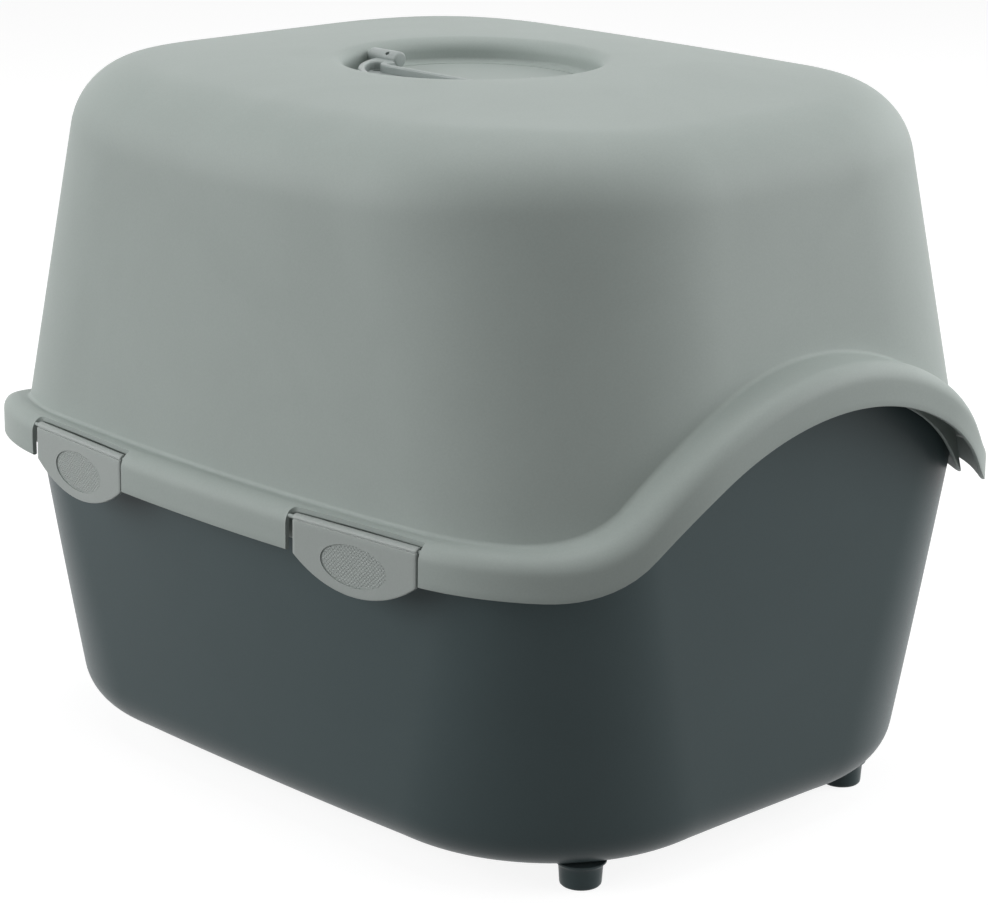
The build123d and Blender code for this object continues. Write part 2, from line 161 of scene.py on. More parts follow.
CATCH_REACH = (-22.0, -7.2)
HOOK_TOP = CATCH_TOP - CATCH_HEIGHT - 0.8
HOOK_HEIGHT = 2.6
HOOK_HALF_LENGTH = 20.0
HOOK_REACH = -6.8

# Handle
HANDLE_AXIS_X = 14.0
HANDLE_AXIS_Z = 410.2
HANDLE_BARREL_R = 4.6
HANDLE_BARREL_OUT = 70.0
HANDLE_BARREL_IN = 46.0
HANDLE_BORE = 18.0
HANDLE_PIN_R = 2.4
HANDLE_PIN_GAP = 0.3
REAR_BARREL_R = 3.2
REAR_BARREL_IN = 61.0
REAR_BORE = 7.5
REAR_PIN_R = 1.6
HANDLE_REACH = 60.0
HANDLE_GRIP_X = 29.0
HANDLE_GRIP_BEND = 9.0
HANDLE_ARM_Y = 46.5
HANDLE_OUTER_R = 66.0
HANDLE_TOP_Z = 410.0
HANDLE_THICKNESS = 7.0
HANDLE_RIM = 3.0
HANDLE_CHANNEL = 5.0
ELBOW_HOLE = (28.4, -50.4, 2.9)
PINHOLE_Y = -54.0
PINHOLE_R = 1.35
PINHOLE_TILT = math.radians(46)

# Entry and flap
ENTRY_WIDTH = 210.0
ENTRY_HEIGHT = 160.0
ENTRY_SILL = 190.0
ENTRY_CORNER_R = 20.0
ENTRY_COLLAR_DEPTH = 17.0
ENTRY_BEAD = 1.6
ENTRY_MIDDLE = ENTRY_SILL + ENTRY_HEIGHT / 2
FLAP_SETBACK = 11.0
FLAP_PIN_R = 2.6
FLAP_PIN_Z = 326.0
FLAP_BOSS_R = 5.4

# Angles in degrees from which an edge is sharp, or is rounded
PIECE_SHARP = 38
SHELL_SHARP = 32
SOFTENED_SHARP = 50
SOFTENED_FROM = 40

# Points round one quarter of every shell
SIDE_STEPS = 36
CORNER_STEPS = 30
END_STEPS = 28
QUARTER_STEPS = SIDE_STEPS + CORNER_STEPS + END_STEPS


# ---- outlines

def stations():
    """Where each point of an outline lies: its quarter's signs and its share of side, corner and end."""
    turn, step = np.divmod(np.arange(4 * QUARTER_STEPS), QUARTER_STEPS)
    step = np.where(turn % 2 == 0, step, QUARTER_STEPS - step)
    return {
        "x": np.where((turn == 0) | (turn == 3), 1.0, -1.0),
        "y": np.where(turn < 2, 1.0, -1.0),
        "step": step,
        "side": np.clip(step / SIDE_STEPS, 0, 1),
        "corner": np.clip((step - SIDE_STEPS) / CORNER_STEPS, 0, 1),
        "end": np.clip((step - SIDE_STEPS - CORNER_STEPS) / END_STEPS, 0, 1),
    }


STATION = stations()


def outline(half_width, half_length, side_bow, end_bow, corner_r):
    """Points of a rounded rectangle with bowed sides, anticlockwise from +X."""
    reach_x = half_width - side_bow
    reach_y = half_length - end_bow
    side_r = (reach_y ** 2 + side_bow ** 2) / (2 * side_bow)
    end_r = (reach_x ** 2 + end_bow ** 2) / (2 * end_bow)
    side_middle = half_width - side_r
    end_middle = half_length - end_r
    to_side = abs(side_r - corner_r)
    to_end = abs(end_r - corner_r)
    gap = np.hypot(side_middle, end_middle)
    along = (to_side ** 2 - to_end ** 2 + gap ** 2) / (2 * gap)
    across = np.sqrt(to_side ** 2 - along ** 2) * np.where(end_middle < 0, 1, -1)
    run_x = -side_middle / gap
    run_y = end_middle / gap
    centre_x = side_middle + along * run_x - across * run_y
    centre_y = along * run_y + across * run_x
    first = np.arctan2(centre_y, centre_x - side_middle)
    last = np.arctan2(centre_y - end_middle, centre_x)
    facing = np.sign(end_r)
    corner_last = np.where(facing > 0, last, last + math.pi)
    side = STATION["side"] * first
    corner = first + (corner_last - first) * STATION["corner"]
    end = last + (facing * QUARTER - last) * STATION["end"]
    on_side = STATION["step"] <= SIDE_STEPS
    on_corner = STATION["step"] <= SIDE_STEPS + CORNER_STEPS
    x = np.where(on_side, side_middle + side_r * np.cos(side),
                 np.where(on_corner, centre_x + corner_r * np.cos(corner), abs(end_r) * np.cos(end)))
    y = np.where(on_side, side_r * np.sin(side),
                 np.where(on_corner, centre_y + corner_r * np.sin(corner),
                          end_middle + abs(end_r) * np.sin(end)))
    return np.stack([x * STATION["x"], y * STATION["y"]], axis=1)


def flange_xy(inset):
    """The skirt's outer face, moved in by inset."""
    return outline(FLANGE_HALF_WIDTH - inset, FLANGE_HALF_LENGTH - inset, SIDE_BOW, END_BOW,
                   FLANGE_CORNER_R - inset)


def hood_xy(z, inset):
    """The hood's wall at height z, moved in by inset."""
    rise = z - SHELF_Z
    corner = HOOD_CORNER_R + (ROOF_CORNER_R - HOOD_CORNER_R) * rise / (HEIGHT - SHELF_Z)
    return outline(HOOD_HALF_WIDTH - math.tan(HOOD_SIDE_LEAN) * rise - inset,
                   HOOD_HALF_LENGTH - math.tan(HOOD_END_LEAN) * rise - inset,
                   HOOD_SIDE_BOW, HOOD_END_BOW, corner - inset)


def pan_xy(z, inset):
    """The pan's wall at height z, moved in by inset."""
    rise = z - SEAM_Z
    share = -rise / (SEAM_Z - FOOT_HEIGHT)
    corner = PAN_CORNER_R + (PAN_FLOOR_CORNER_R - PAN_CORNER_R) * share
    side_bow = PAN_SIDE_BOW + (PAN_FLOOR_SIDE_BOW - PAN_SIDE_BOW) * share
    return outline(PAN_HALF_WIDTH + math.tan(PAN_SIDE_LEAN) * rise - inset,
                   PAN_HALF_LENGTH + math.tan(PAN_END_LEAN) * rise - inset,
                   side_bow, PAN_END_BOW, corner - inset)


def arch(x, height, foot, blend_r):
    """Height at x of a crown arc between two blend arcs that end at +-foot."""
    crown_r = (foot ** 2 + height ** 2) / (2 * height) - blend_r
    meet = foot * crown_r / (crown_r + blend_r)
    away = np.abs(x)
    crown = height - crown_r + np.sqrt(np.maximum(crown_r ** 2 - away ** 2, 0))
    blend = blend_r - np.sqrt(np.maximum(blend_r ** 2 - (foot - away) ** 2, 0))
    return np.where(away < meet, crown, np.where(away < foot, blend, 0.0))


def seam_z(xy):
    """Height of the seam over each point: arched at the rear, dipped at the front."""
    rear = arch(xy[:, 0], REAR_RISE, REAR_FOOT, REAR_BLEND_R)
    front = arch(xy[:, 0], FRONT_DIP, FRONT_FOOT, FRONT_BLEND_R)
    return SEAM_Z + np.where(xy[:, 1] > 0, rear, -front)


def seam_at(x, y):
    """Height of the seam over one point."""
    return float(seam_z(np.array([[x, y]]))[0])


def roof_z(xy):
    """Height of the slightly crowned roof over each point."""
    along = np.abs(xy / (ROOF_FLAT_X, ROOF_FLAT_Y)) ** 3
    return HEIGHT - ROOF_CROWN * (along.sum(axis=1) - along.prod(axis=1))


def level(z):
    """The same height for every point of an outline."""
    return np.full(len(STATION["x"]), z)


def lifted(xy, z):
    """Points at height z, as one row of a skin."""
    return np.column_stack([xy, np.broadcast_to(z, len(xy))])


def seam_row(wall_xy, inset, rise, guess):
    """One row of a wall at a steady height over the seam, found from a first guess."""
    height = level(guess)
    for _ in range(4):
        xy = wall_xy(height, inset)
        height = seam_z(xy) + rise
    return lifted(xy, height)


def flange_row(inset, rise):
    """One row of the flange at a steady height over the seam."""
    xy = flange_xy(inset)
    return lifted(xy, seam_z(xy) + rise)


def reach_x(xy, y):
    """How far an outline reaches in +X at depth y."""
    return float(np.interp(abs(y), xy[:QUARTER_STEPS, 1], xy[:QUARTER_STEPS, 0]))


def reach_y(xy, x):
    """How far an outline reaches in +Y at width x."""
    quarter = xy[:QUARTER_STEPS][::-1]
    return float(np.interp(abs(x), quarter[:, 0], quarter[:, 1]))


def normals_of(xy):
    """Outward unit vector at each point of a closed outline."""
    run = np.roll(xy, -1, axis=0) - np.roll(xy, 1, axis=0)
    out = np.stack([run[:, 1], -run[:, 0]], axis=1)
    return out / np.linalg.norm(out, axis=1, keepdims=True)


def rounded_edge(radius, wall_lean, top_slope, steps):
    """Points of the arc between a top face and a leaning wall, as (inset from the wall, drop) pairs
    measured from where the two faces would meet."""
    reach = radius / np.tan((QUARTER + wall_lean + top_slope) / 2)
    pairs = []
    for share in np.linspace(0, 1, steps):
        angle = top_slope + (QUARTER - wall_lean - top_slope) * share
        inward = reach * np.cos(top_slope) + radius * (np.sin(top_slope) - np.sin(angle))
        rise = reach * np.sin(top_slope) - radius * (np.cos(top_slope) - np.cos(angle))
        pairs.append((inward - rise * np.tan(wall_lean), -rise))
    return pairs


def bends(steps, turn=QUARTER):
    """(1 - cos, 1 - sin) at even steps of a turn, for rounding an edge."""
    return [(1 - math.cos(a), 1 - math.sin(a)) for a in np.linspace(0, turn, steps)]


def arc(x, y, radius, start, end, count):
    """Points of an arc about (x, y)."""
    return [(x + radius * math.cos(a), y + radius * math.sin(a)) for a in np.linspace(start, end, count)]


def ring_of(count, point):
    """A ring of points, each made from the cosine and the sine of its angle."""
    return np.array([point(math.cos(a), math.sin(a)) for a in np.linspace(0, 2 * math.pi, count + 1)[:-1]])


# ---- meshes

def in_scene(name, data):
    """A new object of the scene."""
    piece = bpy.data.objects.new(name, data)
    bpy.context.scene.collection.objects.link(piece)
    return piece


def smoothed(mesh, angle):
    """Shade a mesh smooth, apart from edges that turn by more than angle."""
    mesh.shade_smooth()
    mesh.set_sharp_from_angle(angle=math.radians(angle))


def turned_out(name, mesh, weld=False):
    """An object round a mesh whose faces are turned outward, once its doubles are merged if asked."""
    work = bmesh.new()
    work.from_mesh(mesh)
    if weld:
        bmesh.ops.remove_doubles(work, verts=work.verts, dist=1e-6)
    bmesh.ops.recalc_face_normals(work, faces=work.faces)
    work.to_mesh(mesh)
    work.free()
    smoothed(mesh, PIECE_SHARP)
    return in_scene(name, mesh)


def bands(first, levels, count, closed=False):
    """Quads between neighbouring rows of points, of which the first row starts at index first."""
    ring = np.arange(count)
    after = (ring + 1) % count
    faces = []
    for row in range(levels if closed else levels - 1):
        near = first + row * count
        far = first + (row + 1) % levels * count
        faces += zip(near + ring, near + after, far + after, far + ring)
    return faces


def solid(name, points, faces):
    """A piece from points in millimetres and faces."""
    mesh = bpy.data.meshes.new(name)
    mesh.from_pydata((points * MM).tolist(), [], [tuple(int(i) for i in face) for face in faces])
    mesh.validate()
    return turned_out(name, mesh)


def skin(name, rows, first_pole, last_pole):
    """A closed shell through rows of points, from one pole to the other."""
    count = len(rows[0])
    points = np.concatenate([[first_pole], *rows, [last_pole]])
    ring = np.arange(count)
    after = (ring + 1) % count
    last = 1 + (len(rows) - 1) * count
    faces = [(0, 1 + b, 1 + a) for a, b in zip(ring, after)] + bands(1, len(rows), count)
    faces += [(len(points) - 1, last + a, last + b) for a, b in zip(ring, after)]
    return solid(name, points, faces)


def loft(name, rings):
    """A closed solid through rings of points, with flat ends."""
    count = len(rings[0])
    ring = np.arange(count)
    faces = [ring[::-1]] + bands(0, len(rings), count) + [(len(rings) - 1) * count + ring]
    return solid(name, np.concatenate(rings), faces)


def block(x, y, z):
    """Corner points of a block between pairs of limits, as two rings."""
    square = [(x[0], y[0]), (x[1], y[0]), (x[1], y[1]), (x[0], y[1])]
    return [np.array([(a, b, c) for a, b in square], float) for c in z]


def pin_between(name, start, end, radius):
    """A round pin between two points."""
    start, end = Vector(start), Vector(end)
    turn = (end - start).to_track_quat("Z", "Y").to_matrix()
    return loft(name, [ring_of(32, lambda c, s: tuple(point + turn @ Vector((radius * c, radius * s, 0))))
                       for point in (start, end)])


def plain_mesh(piece):
    """The mesh that a piece's modifiers or curve give."""
    graph = bpy.context.evaluated_depsgraph_get()
    return bpy.data.meshes.new_from_object(piece.evaluated_get(graph))


def settle(piece):
    """Replace a piece's modifiers by their result."""
    mesh = plain_mesh(piece)
    piece.modifiers.clear()
    old = piece.data
    piece.data = mesh
    bpy.data.meshes.remove(old)
    return piece


def cut(piece, *tools):
    """Cut tools out of a piece and throw them away."""
    for tool in tools:
        change = piece.modifiers.new("cut", "BOOLEAN")
        change.object = tool
        change.solver = "EXACT"
    settle(piece)
    for tool in tools:
        bpy.data.objects.remove(tool)
    return piece


def soften(piece, width):
    """Round a piece's real edges."""
    change = piece.modifiers.new("soften", "BEVEL")
    change.width = width * MM
    change.segments = 2
    change.limit_method = "ANGLE"
    change.angle_limit = math.radians(SOFTENED_FROM)
    smoothed(settle(piece).data, SOFTENED_SHARP)
    return piece


def joined(name, pieces):
    """One piece from several."""
    work = bmesh.new()
    for piece in pieces:
        work.from_mesh(piece.data)
        bpy.data.objects.remove(piece)
    mesh = bpy.data.meshes.new(name)
    work.to_mesh(mesh)
    work.free()
    smoothed(mesh, PIECE_SHARP)
    return in_scene(name, mesh)


def dress(piece, body, slot, stands_for=None):
    """Give a piece its body and its plastic, and hide the part's own piece that it stands for."""
    piece.data.materials.clear()
    piece.data.materials.append(PLASTICS[slot])
    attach(piece, body)
    if stands_for:
        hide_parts(stands_for)


# ---- hood

def wall_rows(wall_xy, inset, start, finish, count):
    """Rows of a wall at even steps from one height to another, without the first."""
    rows = []
    for share in np.linspace(0, 1, count)[1:]:
        z = start + (finish - start) * share
        rows.append(lifted(wall_xy(z, inset), z))
    return rows


def shelf_rows(start, finish, rise, shares):
    """Rows between two outlines, at a steady height over the seam."""
    rows = []
    for share in shares:
        xy = start + (finish - start) * share
        rows.append(lifted(xy, seam_z(xy) + rise))
    return rows


def hood_face(inset, down):
    """Rows of one face of the hood, from the middle of the recess down to the height given by down."""
    top = hood_xy(level(HEIGHT), inset)
    low = hood_xy(level(HEIGHT - ROOF_EDGE_R), inset)
    out = normals_of(top)
    wall_lean = np.arctan(np.sum((low - top) * out, axis=1) / ROOF_EDGE_R)
    brink = top - ROOF_EDGE_R * out
    slope = np.arctan(roof_z(brink) - roof_z(brink + out))
    pairs = rounded_edge(ROOF_EDGE_R - inset, wall_lean, slope, 18)
    meet = roof_z(hood_xy(level(HEIGHT), inset + pairs[0][0])) - inset + pairs[0][1]
    edge = [lifted(hood_xy(meet - drop, inset + inward), meet - drop) for inward, drop in pairs]
    middle = np.array([0, RECESS_Y])
    brim = edge[0][:, :2]
    spoke = (brim - middle) / np.linalg.norm(brim - middle, axis=1, keepdims=True)
    rim = middle + spoke * (RECESS_R + RECESS_RIM_R)
    roof = []
    for share in np.linspace(0, 1, 12)[:-1]:
        xy = rim + (brim - rim) * share
        roof.append(lifted(xy, roof_z(xy) - inset))
    bend = RECESS_RIM_R - inset
    wall = [lifted(middle + spoke * (RECESS_R + inset + bend * aside), roof_z(rim) - inset - bend * drop)
            for aside, drop in bends(9)[:-1]]
    sides = wall_rows(hood_xy, inset, edge[-1][:, 2], down, 15)
    return recess_floor(spoke, inset) + wall + roof + edge + sides


def recess_floor(spoke, inset):
    """Rows of the recess's floor and lower wall, from the middle out."""
    bend = RECESS_FLOOR_R + inset
    reach = RECESS_R + inset - bend
    radii = [(radius, 0) for radius in (8, 24, 42, 56, GROOVE_R - GROOVE_WIDTH)]
    if inset == 0:
        radii += [(GROOVE_R - 0.55 * GROOVE_WIDTH, 0), (GROOVE_R - 0.4 * GROOVE_WIDTH, -GROOVE_DEPTH),
                  (GROOVE_R + 0.4 * GROOVE_WIDTH, -GROOVE_DEPTH), (GROOVE_R + 0.55 * GROOVE_WIDTH, 0)]
    radii += [(reach, 0)] + [(reach + bend - bend * drop, bend * aside) for aside, drop in bends(7)[1:]]
    return [lifted((0, RECESS_Y) + spoke * radius, RECESS_FLOOR_Z - inset + rise) for radius, rise in radii]


def hood_shell():
    """The hood in one skin: recess, roof, walls, flange and the inside."""
    foot = seam_row(hood_xy, 0.0, SKIRT_HEIGHT + SHELF_FILLET_R, SHELF_Z)
    rows = hood_face(0.0, foot[:, 2])
    for aside, drop in bends(8)[1:]:
        rows.append(seam_row(hood_xy, -SHELF_FILLET_R * aside, SKIRT_HEIGHT + SHELF_FILLET_R * drop, SHELF_Z))
    rows += shelf_rows(rows[-1][:, :2], flange_xy(SHOULDER_R), SKIRT_HEIGHT, (0.33, 0.67))
    for aside, drop in bends(10):
        rows.append(flange_row(SHOULDER_R * drop, SKIRT_HEIGHT - SHOULDER_R * aside))
    for rise in np.linspace(SKIRT_HEIGHT - SHOULDER_R, SKIRT_EDGE_R, 5)[1:]:
        rows.append(flange_row(0.0, rise))
    for aside, drop in bends(9, math.pi)[1:]:
        rows.append(flange_row(WALL / 2 * aside, SKIRT_EDGE_R * drop))
    for rise in np.linspace(SKIRT_EDGE_R, SKIRT_HEIGHT - SHOULDER_R, 4)[1:]:
        rows.append(flange_row(WALL, rise))
    bend = SHOULDER_R - WALL
    for aside, drop in bends(6)[1:]:
        rows.append(flange_row(WALL + bend * aside, SKIRT_HEIGHT - WALL - bend * drop))
    wall = seam_row(hood_xy, 0.0, SKIRT_HEIGHT - WALL, SHELF_Z)
    rows += shelf_rows(rows[-1][:, :2], wall[:, :2], SKIRT_HEIGHT - WALL, (0.5, 1.0))
    for rise in (14.0, 6.0, LIP_RAISE + SKIRT_EDGE_R):
        rows.append(seam_row(hood_xy, 0.0, rise, SEAM_Z))
    for aside, drop in bends(7, math.pi)[1:]:
        rows.append(seam_row(hood_xy, WALL / 2 * aside, LIP_RAISE + SKIRT_EDGE_R * drop, SEAM_Z))
    rows += hood_face(WALL, rows[-1][:, 2])[:-1][::-1]
    middle = np.array([0, RECESS_Y, RECESS_FLOOR_Z])
    return skin("hood_shell", rows, middle, middle - (0, 0, WALL))


# ---- pan

def pan_face(inset, top_z):
    """Rows of one face of the pan, from its floor up to the height given by top_z."""
    base = level(FOOT_HEIGHT + inset)
    low = pan_xy(base, inset)
    high = pan_xy(base + PAN_EDGE_R, inset)
    wall_lean = np.arctan(np.sum((high - low) * normals_of(low), axis=1) / PAN_EDGE_R)
    edge = [lifted(pan_xy(base + drop, inset + inward), base + drop)
            for inward, drop in rounded_edge(PAN_EDGE_R - inset, wall_lean, 0.0, 14)]
    floor = [edge[0] * (share, share, 1) for share in (0.05, 0.3, 0.6, 0.85)]
    return floor + edge + wall_rows(pan_xy, inset, edge[-1][:, 2], top_z, 16)


def pan_shell():
    """The pan in one skin, with its raised rear wall."""
    outer, inner = [seam_row(pan_xy, inset, RIM_HEIGHT - RIM_ROUND, SEAM_Z)[:, 2]
                    for inset in (0.0, PAN_WALL)]
    rows = pan_face(0.0, outer)
    for aside, drop in bends(9, math.pi)[1:-1]:
        rows.append(seam_row(pan_xy, PAN_WALL / 2 * aside, RIM_HEIGHT - RIM_ROUND * drop, SEAM_Z))
    rows += pan_face(PAN_WALL, inner)[::-1]
    return skin("pan_shell", rows, (0, 0, FOOT_HEIGHT), (0, 0, FOOT_HEIGHT + PAN_WALL))


# ---- clips

def clip_frame(end, side):
    """Matrix of a clip: x to the front, y outward, z up, origin on the skirt at shelf height."""
    reach = FLANGE_HALF_LENGTH - END_BOW
    bow_r = (reach ** 2 + SIDE_BOW ** 2) / (2 * SIDE_BOW)
    middle = CLIP_SHIFT + end * CLIP_SPACING / 2
    ends = []
    for y in (middle + NOTCH_LENGTH / 2, middle - NOTCH_LENGTH / 2):
        ends.append(Vector((FLANGE_HALF_WIDTH - bow_r + math.sqrt(bow_r ** 2 - y ** 2), y, SHELF_Z)))
    run = (ends[1] - ends[0]).normalized()
    out = Vector((0, 0, 1)).cross(run)
    place = Matrix((run, out, (0, 0, 1))).transposed().to_4x4()
    place.translation = (ends[0] + ends[1]) / 2 * MM
    return Matrix.Diagonal((side, 1, 1, 1)) @ place


def at_clip(piece, end, side):
    """Carry a piece from a clip's frame to its place, mirrored for the left side."""
    piece.data.transform(clip_frame(end, side))
    if side < 0:
        piece.data.flip_normals()
    return piece


def notch_plan():
    """The gap for a clip seen from above in the clip's frame, with its inner corners rounded."""
    half = NOTCH_LENGTH / 2
    rear, front = [[(sign * (half - bend * aside), bend * drop - NOTCH_DEPTH) for aside, drop in bends(7)]
                   for sign, bend in ((-1, 1.2), (1, 4.0))]
    return np.array([(-half, NOTCH_OUT), *rear, *front[::-1], (half, NOTCH_OUT)])


def clip_section(drop):
    """Section of a clip: a rolled barrel, a groove under it, and the plate down to drop."""
    ring = arc(-CLIP_AXIS_DEPTH, 0.1 - CLIP_AXIS_DROP, CLIP_RIDGE_R, math.radians(250), math.radians(5), 17)
    ring += [(-0.85, -5.55), (-0.75, -5.8), (-0.4, -5.85), (-0.1, -6.1), (0.0, -6.6)]
    low = CLIP_FOOT_R - drop
    heights = np.linspace(-9.0, low + 1.0, 6)
    ring += [(0.0, z) for z in heights]
    ring += arc(-CLIP_FOOT_R, low, CLIP_FOOT_R, 0, -QUARTER, 4)
    ring += arc(CLIP_FOOT_R - CLIP_PLATE, low, CLIP_FOOT_R, -QUARTER, -math.pi, 4)
    ring += [(-CLIP_PLATE, z) for z in heights[::-1]]
    ring += [(-CLIP_PLATE - 0.05, -8.5), (-CLIP_PLATE - 0.3, -8.1), (-CLIP_PLATE - 0.8, -7.8)]
    return np.array(ring)


def clip_drop(x):
    """How far down the plate's arched foot reaches at x."""
    half = (CLIP_END - CLIP_START) / 2
    sag = CLIP_MIDDLE_DROP - CLIP_SIDE_DROP
    radius = (half ** 2 + sag ** 2) / (2 * sag)
    return CLIP_MIDDLE_DROP - radius + math.sqrt(radius ** 2 - (x - CLIP_MIDDLE) ** 2)


def clip_body(name):
    """One clip in its own frame."""
    edge = CLIP_EDGE_R
    places = [(CLIP_START, edge), (CLIP_START + 0.15, edge / 2)]
    places += [(x, 0.0) for x in np.linspace(CLIP_START + edge, CLIP_END - edge, 49)]
    places += [(CLIP_END - 0.15, edge / 2), (CLIP_END, edge)]
    rings = []
    for x, pinch in places:
        section = clip_section(clip_drop(x))
        # The section runs clockwise, so these normals point inward
        section = section + normals_of(section) * pinch
        rings.append(np.column_stack([np.full(len(section), x), section]))
    piece = loft(name, rings)
    hook = loft("hook", block((CLIP_MIDDLE - HOOK_HALF_LENGTH, CLIP_MIDDLE + HOOK_HALF_LENGTH),
                              (HOOK_REACH, -CLIP_PLATE / 2), (HOOK_TOP - HOOK_HEIGHT, HOOK_TOP)))
    soften(hook, 0.6)
    oval = [ring_of(96, lambda c, s: (CLIP_MIDDLE + GRIP_LENGTH / 2 * c, y, -GRIP_DROP + GRIP_HEIGHT / 2 * s))
            for y in (-GRIP_DEPTH, 5.0)]
    cut(piece, rod("bore", CLIP_BORE_R, CLIP_START - 5, CLIP_END + 5), loft("oval", oval))
    return joined(name, [piece, hook])


def rod(name, radius, start, end):
    """A round bar along a clip's hinge, in the clip's frame."""
    rings = [ring_of(32, lambda c, s: (x, radius * c - CLIP_AXIS_DEPTH, radius * s - CLIP_AXIS_DROP))
             for x in (start, end)]
    return loft(name, rings)


# ---- handle

def slab(name, outlines, low, high, bevel):
    """A slab with rounded edges between two heights, filled between closed outlines."""
    curve = bpy.data.curves.new(name, "CURVE")
    curve.dimensions = "2D"
    curve.fill_mode = "BOTH"
    for ring in outlines:
        spline = curve.splines.new("POLY")
        spline.points.add(len(ring) - 1)
        for point, (x, y) in zip(spline.points, ring):
            point.co = (x * MM, y * MM, 0, 1)
        spline.use_cyclic_u = True
    curve.extrude = ((high - low) / 2 - bevel) * MM
    curve.bevel_depth = bevel * MM
    curve.bevel_resolution = 4
    curve.offset = -bevel * MM
    holder = in_scene(name, curve)
    mesh = plain_mesh(holder)
    bpy.data.objects.remove(holder)
    mesh.transform(Matrix.Translation((0, 0, (low + high) / 2 * MM)))
    return turned_out(name, mesh, weld=True)


def handle_outline():
    """Outline of the handle seen from above, about the middle of the recess."""
    end = math.acos(HANDLE_REACH / HANDLE_OUTER_R)
    start = math.acos(HANDLE_AXIS_X / HANDLE_OUTER_R)
    half = HANDLE_OUTER_R * math.sin(end)
    bend_x = HANDLE_GRIP_X - HANDLE_GRIP_BEND
    bend_y = HANDLE_ARM_Y - HANDLE_GRIP_BEND
    ring = arc(0, 0, HANDLE_OUTER_R, -start, -end, 26)
    ring += [(HANDLE_REACH, y) for y in np.linspace(-half, half, 14)[1:-1]]
    ring += arc(0, 0, HANDLE_OUTER_R, end, start, 26) + [(HANDLE_AXIS_X, HANDLE_ARM_Y)]
    ring += arc(bend_x, bend_y, HANDLE_GRIP_BEND, QUARTER, 0, 10)
    ring += arc(bend_x, -bend_y, HANDLE_GRIP_BEND, 0, -QUARTER, 10)
    return ring + [(HANDLE_AXIS_X, -HANDLE_ARM_Y)]


def channel_outline():
    """Outline of the channel sunk into the handle, which bends with it at both elbows."""
    near = HANDLE_GRIP_X + HANDLE_RIM + 0.5
    far = HANDLE_REACH - HANDLE_RIM
    outer = HANDLE_OUTER_R - HANDLE_RIM - 1.0
    half = arc(0, 0, outer, math.acos(far / outer), math.radians(61), 12)
    half += arc(27.6, 51.2, 3.2, math.radians(70), math.radians(228), 8)
    half += arc(near - 14, 38, 14, math.radians(40), 0, 6)
    return half + [(x, -y) for x, y in half[::-1]]


def barrel(name, radius, inner, outer, pin_r, bore_end):
    """One hinge barrel of the handle, from inner to outer along Y from mid-recess, bored from outside."""
    sign = math.copysign(1.0, outer)
    bend = 0.3 * radius
    bore_r = pin_r + HANDLE_PIN_GAP
    profile = [(inner + sign * bend * aside, radius - bend * drop) for aside, drop in bends(6)]
    profile += [(outer - sign * 0.7, radius), (outer - sign * 0.2, radius - 0.25), (outer, radius - 0.7),
                (outer, bore_r), (bore_end, bore_r)]
    rows = [ring_of(48, lambda c, s: (HANDLE_AXIS_X + wide * s, RECESS_Y + along, HANDLE_AXIS_Z + wide * c))
            for along, wide in profile]
    poles = [(HANDLE_AXIS_X, RECESS_Y + along, HANDLE_AXIS_Z) for along in (inner, bore_end)]
    return skin(name, rows, *poles)


def handle_piece():
    """The folding handle: a bail with a channel, carried by two barrels."""
    floor_z = HANDLE_TOP_Z - HANDLE_CHANNEL
    bottom_z = HANDLE_TOP_Z - HANDLE_THICKNESS
    plan = handle_outline()
    base = slab("bail_base", [plan], bottom_z, floor_z, 0.9)
    rim = slab("bail_rim", [plan, channel_outline()], floor_z - 1.5, HANDLE_TOP_Z, 1.3)
    x, y, hole_r = ELBOW_HOLE
    cut(base, pin_between("elbow_hole", (x, y, bottom_z - 2), (x, y, floor_z + 2), hole_r))
    for part in (base, rim):
        part.data.transform(Matrix.Translation((0, RECESS_Y * MM, 0)))
    outer = HANDLE_BARREL_OUT
    front = barrel("barrel_front", HANDLE_BARREL_R, -HANDLE_BARREL_IN, -outer, HANDLE_PIN_R,
                   HANDLE_BORE - outer)
    rear = barrel("barrel_rear", REAR_BARREL_R, REAR_BARREL_IN, outer, REAR_PIN_R, outer - REAR_BORE)
    hole = [(HANDLE_AXIS_X + reach * math.sin(PINHOLE_TILT), RECESS_Y + PINHOLE_Y,
             HANDLE_AXIS_Z + reach * math.cos(PINHOLE_TILT)) for reach in (1.0, 8.0)]
    cut(front, pin_between("pinhole", *hole, PINHOLE_R))
    return joined("handle_bail", [base, rim, front, rear])


# ---- entry and flap

def front_wall_y(z):
    """Where the front wall stands on the centre line at height z."""
    return -HOOD_HALF_LENGTH + math.tan(HOOD_END_LEAN) * (z - SHELF_Z)


ENTRY_TOP_Y = front_wall_y(ENTRY_SILL + ENTRY_HEIGHT)
FLAP_Y = ENTRY_TOP_Y + FLAP_SETBACK


def entry_ring(grow):
    """Points round the entry, grown outward, as x and z."""
    radius = ENTRY_CORNER_R + grow
    x = ENTRY_WIDTH / 2 + grow - radius
    z = ENTRY_HEIGHT / 2 + grow - radius
    corners = [arc(turn_x * x, ENTRY_MIDDLE + turn_z * z, radius, QUARTER * k, QUARTER * (k + 1), 14)
               for k, (turn_x, turn_z) in enumerate(((1, 1), (-1, 1), (-1, -1), (1, -1)))]
    ring = []
    for k, corner in enumerate(corners):
        start, finish = np.array(corner[-1]), np.array(corners[(k + 1) % 4][0])
        ring += corner + [tuple(start + (finish - start) * share) for share in np.linspace(0, 1, 13)[1:-1]]
    return ring


def wall_y_at(x, z):
    """Depth of the front wall's outer face at x and z."""
    return -reach_y(hood_xy(level(z), 0.0), x)


